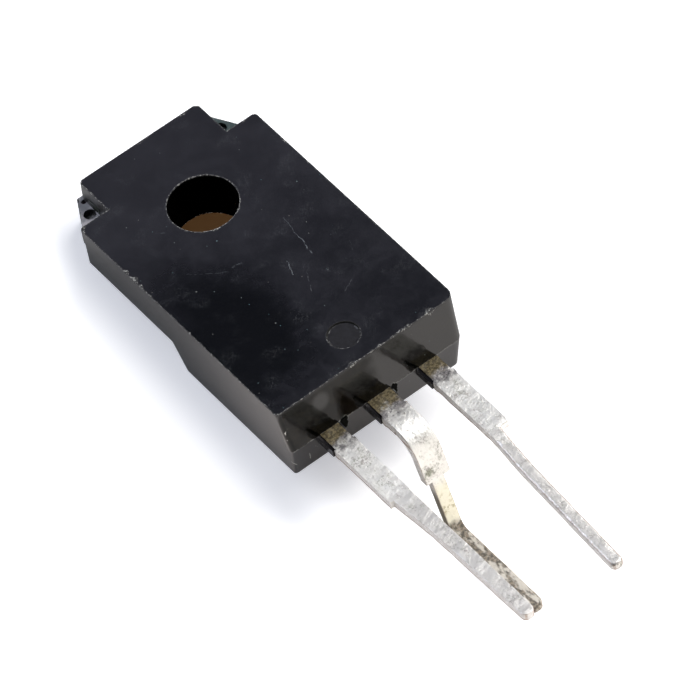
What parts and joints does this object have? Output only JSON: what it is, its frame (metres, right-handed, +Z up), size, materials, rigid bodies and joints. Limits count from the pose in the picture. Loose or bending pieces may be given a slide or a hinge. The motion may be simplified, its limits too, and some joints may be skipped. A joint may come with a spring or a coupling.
{
  "type": "triac",
  "caption": "Triac in a fully insulated moulded package with a screw hole, notched head, flat tinned leads and a formed centre lead.",
  "frame": {"origin": "where the mounting hole's axis crosses the flat mounting face", "axes": "+X across the body towards the T1 lead, +Y towards the head, +Z up as the package lies on a flat surface with its mounting face up, tipped 13.26 degrees about X"},
  "size_m": [0.01, 0.032, 0.0077],
  "materials": {
    "resin": "black silica-filled epoxy moulding, fine satin, glossy on the lead end",
    "tinned_strip": "hot tin on copper strip, mottled and stained",
    "silicon": "polished chip",
    "solder": "dull solder",
    "bond_wire": "bright drawn wire"
  },
  "bodies": {
    "root": {"epoxy_body": "resin", "t1_lead": "tinned_strip", "gate_lead": "tinned_strip", "t2_lead_frame": "tinned_strip", "triac_chip": "silicon", "die_attach_solder": "solder", "t1_bond_wire": "bond_wire", "gate_bond_wire": "bond_wire"}
  },
  "joints": []
}
